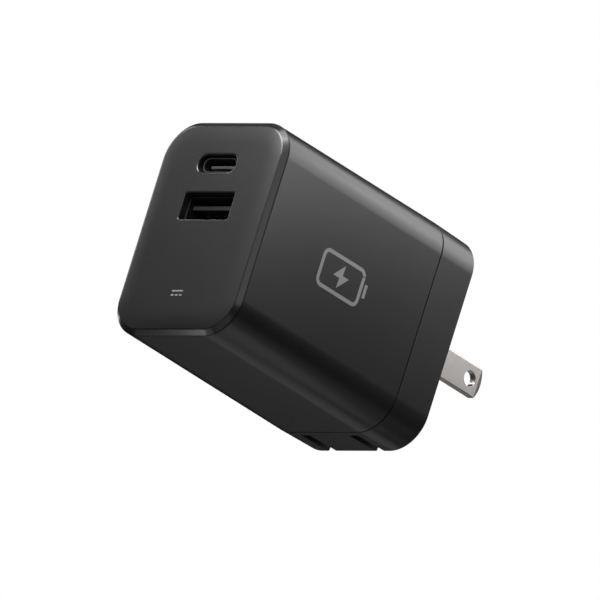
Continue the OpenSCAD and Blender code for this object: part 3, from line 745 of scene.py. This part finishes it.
# ---- Transformer ----
# A ferrite core in two halves, glued round a moulded former that carries the windings under a wrap of
# yellow film. Ferrite is matt, dark and slightly porous; the wire lies in even turns along the former.
ferrite_paint = Paint("sintered_ferrite")
pores = ferrite_paint.grain(0.12 * mm, detail=4, rough=0.75)
fired = ferrite_paint.grain(3 * mm, detail=3)
dark_ferrite, grey_ferrite = (0.030, 0.028, 0.027), (0.075, 0.070, 0.067)
ferrite_paint.finish(base_color=ferrite_paint.mix(pores * 0.6 + fired * 0.4, dark_ferrite, grey_ferrite),
                     roughness=0.62 + (pores - 0.5) * 0.25, normal=ferrite_paint.bump(pores, 0.012 * mm))
softened("core_half_lower", "transformer_core_lower", ferrite_paint, 0.18 * mm, segments=3)
softened("core_half_upper", "transformer_core_upper", ferrite_paint, 0.18 * mm, segments=3)
former_paint = filled_nylon("former_nylon", (0.012, 0.012, 0.013), (0.030, 0.030, 0.032))
softened("winding_former", "transformer_bobbin", former_paint, 0.08 * mm)


def enamelled(name, axis, pitch):
    """Copper wire under clear enamel, in turns that follow each other along an axis. Each turn is painted
    darker towards its edges: painted shade in the grooves between turns.
    """
    paint = Paint(name)
    turn = abs((paint.axis(axis) % pitch) * (2 / pitch) - 1)
    shade = paint.grain(1.1 * mm, detail=3)
    # Painted shade: the copper darkens towards the edge of each turn, in the grooves between turns.
    copper = paint.mix(shade * 0.5 + turn * 0.4, (0.42, 0.15, 0.055), (0.20, 0.055, 0.018))
    return paint.finish(base_color=copper, metallic=0.85, roughness=0.26 + shade * 0.1,
                        normal=paint.bump(1 - turn * turn, pitch * 0.4))


film_paint = Paint("yellow_film")
wrinkle = film_paint.grain(1.4 * mm, detail=3, stretch=(0.3, 1, 1))
turn_pitch, single_w = 5.2 * mm, 4.9 * mm
lap = (film_paint.axis("X") % turn_pitch) > single_w
film_paint.finish(
    base_color=film_paint.mix(wrinkle * 0.6 + lap * 0.4, (0.78, 0.52, 0.06), (0.62, 0.36, 0.03)),
    roughness=0.24 + wrinkle * 0.12, coat_weight=0.3, normal=film_paint.bump(wrinkle + lap, 0.05 * mm))
softened("wire_turns", "transformer_winding", enamelled("enamelled_wire", "X", 0.36 * mm), 0.05 * mm)
softened("film_wrap", "transformer_tape", film_paint, 0.03 * mm)

# ---- Capacitors ----
# Two mains-side capacitors in blue shrink sleeve with a pale stripe for the negative leg, and two bare
# aluminium ones on the output side. The crimp near the foot and the scored top are in their shape.


def top_of(node):
    """Where a CAD node's +X end lies"""
    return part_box(node)[1].x


def sleeve_and_top(name, node, dark, light, stripe, rim=0.25 * mm):
    """Shrink sleeve round a can, a pale stripe down one side, and the aluminium of the top inside its rim"""
    paint = Paint(name)
    top = paint.axis("X") > top_of(node) - rim
    shrink = paint.grain(0.9 * mm, detail=4, stretch=(0.4, 1, 1))
    band = (paint.axis("Z") % stripe[0]) < stripe[1]
    printed = paint.mix(band * 0.85, paint.mix(shrink, dark, light), (0.55, 0.58, 0.62))
    turned = paint.grain(0.1 * mm, detail=2)
    return paint.finish(base_color=paint.mix(top, printed, (0.62, 0.63, 0.64)), metallic=top,
                        roughness=0.30 + shrink * 0.12 + turned * 0.05, normal=paint.bump(shrink, 0.02 * mm))


sleeve_paint = sleeve_and_top("blue_sleeve", "bulk_capacitors", (0.010, 0.020, 0.075), (0.020, 0.040, 0.120),
                              (40 * mm, 2.4 * mm))
softened("mains_capacitors", "bulk_capacitors", sleeve_paint, 0.12 * mm, segments=3,
         angle=60)
can_paint = Paint("drawn_can")
brushed = can_paint.grain(0.08 * mm, detail=3, stretch=(0.1, 1, 1))
dull = can_paint.grain(1.5 * mm, detail=3)
can_paint.finish(base_color=can_paint.mix(brushed * 0.4 + dull * 0.6, (0.48, 0.49, 0.50), (0.70, 0.71, 0.72)),
                 metallic=1.0, roughness=0.28 + dull * 0.14, normal=can_paint.bump(brushed, 0.002 * mm))
softened("output_cans", "output_capacitors", can_paint, 0.1 * mm, segments=3, angle=60)

# ---- Line filter ----
# A ring choke in green epoxy with two banks of enamelled wire on its nylon base, a film capacitor potted
# in a yellow case, two coated discs and a ceramic fuse with plated end caps.
ring_paint = Paint("green_ring_epoxy")
orange_peel = ring_paint.grain(0.5 * mm, detail=3)
ring_paint.finish(base_color=ring_paint.mix(orange_peel, (0.030, 0.115, 0.060), (0.055, 0.175, 0.095)),
                  roughness=0.30 + orange_peel * 0.14, normal=ring_paint.bump(orange_peel, 0.02 * mm))
softened("choke_ring", "choke_core", ring_paint, 0.3 * mm, segments=4)
softened("choke_wire", "choke_windings", enamelled("choke_enamel", "Y", 9 * mm), 0.14 * mm)
softened("choke_foot", "choke_base", carrier_paint, 0.1 * mm)

potted_paint = Paint("yellow_potted_case")
mottle = potted_paint.grain(0.6 * mm, detail=4, rough=0.65)
potted_paint.finish(base_color=potted_paint.mix(mottle, (0.58, 0.36, 0.06), (0.72, 0.48, 0.11)),
                    roughness=0.38 + mottle * 0.12, normal=potted_paint.bump(mottle, 0.006 * mm))
softened("film_capacitor", "x_capacitor", potted_paint, 0.25 * mm, segments=4)


def dipped(name, dark, light):
    """A lacquer dip that has run a little and left pinholes"""
    paint = Paint(name)
    runs = paint.grain(1.3 * mm, detail=3, stretch=(0.5, 1, 1))
    pinholes = paint.grain(0.16 * mm, detail=2)
    return paint.finish(base_color=paint.mix(runs * 0.7 + pinholes * 0.3, dark, light),
                        roughness=0.26 + pinholes * 0.16, normal=paint.bump(runs + pinholes * 0.3, 0.05 * mm))


for name, node, dip in (
        ("safety_disc", "y_capacitor", dipped("disc_blue", (0.035, 0.13, 0.30), (0.065, 0.21, 0.42))),
        ("surge_disc", "varistor", dipped("disc_dark_blue", (0.018, 0.060, 0.20), (0.035, 0.10, 0.29)))):
    softened(name, node, dip, 0.5 * mm, segments=5)

fuse_paint = Paint("fuse_ceramic")
fuse_low, fuse_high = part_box("fuse")
cap_len = 1.7 * mm
glaze = fuse_paint.grain(0.5 * mm, detail=3)
from_end = fuse_paint.axis("Z")
caps = (from_end > fuse_high.z - cap_len) + (from_end < fuse_low.z + cap_len)
ceramic = fuse_paint.mix(glaze, (0.55, 0.56, 0.50), (0.68, 0.69, 0.62))
fuse_paint.finish(base_color=fuse_paint.mix(caps, ceramic, (0.60, 0.59, 0.57)), metallic=caps,
                  roughness=0.34 - caps * 0.08 + glaze * 0.05, normal=fuse_paint.bump(glaze, 0.003 * mm))
softened("line_fuse", "fuse", fuse_paint, 0.08 * mm)

# ---- Heat path ----
# A soft grey gap pad takes the transformer's heat to an aluminium plate, and a white polyester sheet lies
# between that and the case. The plate is brushed along the case; the pad keeps its liner's fine weave.
pad_paint = Paint("gap_pad_silicone")
filler = pad_paint.grain(0.09 * mm, detail=3, rough=0.7)
mesh_pitch = 0.7 * mm
knit = (abs((pad_paint.axis("Y") % mesh_pitch) - mesh_pitch / 2)
        + abs((pad_paint.axis("Z") % mesh_pitch) - mesh_pitch / 2))
pad_paint.finish(base_color=pad_paint.mix(filler, (0.22, 0.25, 0.29), (0.32, 0.35, 0.39)),
                 roughness=0.62 + filler * 0.16, normal=pad_paint.bump(knit * 600 + filler * 0.4, 0.03 * mm))
softened("gap_pad", "thermal_pad", pad_paint, 0.25 * mm, segments=3)

plate_paint = Paint("brushed_aluminium")
strokes = plate_paint.grain(0.07 * mm, detail=4, stretch=(1, 0.04, 1))
handled = plate_paint.grain(5 * mm, detail=4)
plate_paint.finish(
    base_color=plate_paint.mix(strokes * 0.6 + handled * 0.4, (0.55, 0.56, 0.57), (0.76, 0.77, 0.78)),
    metallic=1.0, roughness=0.26 + strokes * 0.16, normal=plate_paint.bump(strokes, 0.003 * mm))
softened("heat_plate", "heat_spreader", plate_paint, 0.08 * mm)

sheet_paint = Paint("polyester_sheet")
haze = sheet_paint.grain(4 * mm, detail=4)
fish_eyes = sheet_paint.grain(0.35 * mm, detail=2)
sheet_paint.finish(
    base_color=sheet_paint.mix(haze * 0.8 + fish_eyes * 0.2, (0.66, 0.65, 0.60), (0.80, 0.79, 0.75)),
    roughness=0.30 + haze * 0.12, normal=sheet_paint.bump(fish_eyes, 0.004 * mm))
softened("insulator", "insulation_sheet", sheet_paint, 0.05 * mm)

# ---- Printed marks ----
# Two plain symbols in light grey pad-printing ink: a charging battery on the right side, and a bar over
# three dashes, the sign for direct current, low on the face.
ink_paint = Paint("pad_ink")
screen = ink_paint.grain(0.09 * mm, detail=3, rough=0.65)
thin = ink_paint.grain(1.4 * mm, detail=3)
ink_paint.finish(base_color=ink_paint.mix(screen * 0.5 + thin * 0.5, (0.24, 0.24, 0.24), (0.33, 0.33, 0.33)),
                 roughness=0.44 + (screen - 0.5) * 0.16, normal=ink_paint.bump(screen, 0.001 * mm))


def flat_shape(bm, corners):
    """One flat shape from a few corners, on the plane Z = 0"""
    verts = [bmesh.ops.create_vert(bm, co=(u, v, 0))["vert"][0] for u, v in corners]
    return bmesh.ops.contextual_create(bm, geom=verts)["faces"]


def flat_box(bm, u0, v0, u1, v1, radius=0, segments=6):
    """One flat rectangle, with its corners rounded where radius is over 0"""
    flat_shape(bm, [(u0, v0), (u1, v0), (u1, v1), (u0, v1)])
    bm.faces.ensure_lookup_table()
    if radius:
        bmesh.ops.bevel(bm, geom=bm.faces[-1].verts[:], offset=radius, offset_type="OFFSET",
                        segments=segments, profile=0.5, affect="VERTICES", material=-1)


def print_on(name, bm, place):
    """Lifts flat shapes to the thickness of the ink and puts them on the case"""
    raised = bmesh.ops.extrude_face_region(bm, geom=bm.faces[:])
    lifted = [g for g in raised["geom"] if isinstance(g, bmesh.types.BMVert)]
    bmesh.ops.translate(bm, verts=lifted, vec=(0, 0, ink_t * 0.9))
    bmesh.ops.transform(bm, verts=bm.verts, matrix=place)
    piece(name, bm, ink_paint)


dc_bm = bmesh.new()
dc_w, dc_h, stroke = 2.9 * mm, 1.15 * mm, 0.30 * mm
dc_x, dc_z = -0.6 * mm, -13.6 * mm
flat_box(dc_bm, -dc_w / 2, dc_h / 2 - stroke, dc_w / 2, dc_h / 2)
dash = dc_w / 4
for i in (-1, 0, 1):
    flat_box(dc_bm, i * 1.5 * dash - dash / 2, -dc_h / 2, i * 1.5 * dash + dash / 2, -dc_h / 2 + stroke)
face_place = Matrix.Translation((dc_x, crown_y, dc_z)) @ Matrix.Rotation(math.radians(90), 4, "X")
print_on("direct_current_mark", dc_bm, face_place)

battery_bm = bmesh.new()
battery_w, battery_h, line, battery_y = 12.2 * mm, 7.8 * mm, 0.75 * mm, -32.6 * mm
flat_box(battery_bm, -battery_w / 2, -battery_h / 2, battery_w / 2, battery_h / 2, radius=1.6 * mm)
hollow = bmesh.ops.inset_region(battery_bm, faces=battery_bm.faces[:], use_boundary=True,
                                use_even_offset=True, thickness=line)
inner = [f for f in battery_bm.faces if f not in hollow["faces"]]
bmesh.ops.delete(battery_bm, geom=inner, context="FACES")
nub_x = battery_w / 2 + 0.45 * mm
flat_box(battery_bm, nub_x, -1.35 * mm, nub_x + line, 1.35 * mm, radius=0.3 * mm)
bolt = [(0.45, 2.45), (-2.15, -0.35), (-0.35, -0.35), (-0.45, -2.45), (2.15, 0.35), (0.35, 0.35)]
flat_shape(battery_bm, [(u * mm, v * mm) for u, v in bolt])
side_place = Matrix(((0, 0, 1, housing_high.x - ink_t), (1, 0, 0, battery_y), (0, 1, 0, 0), (0, 0, 0, 1)))
print_on("charging_mark", battery_bm, side_place)
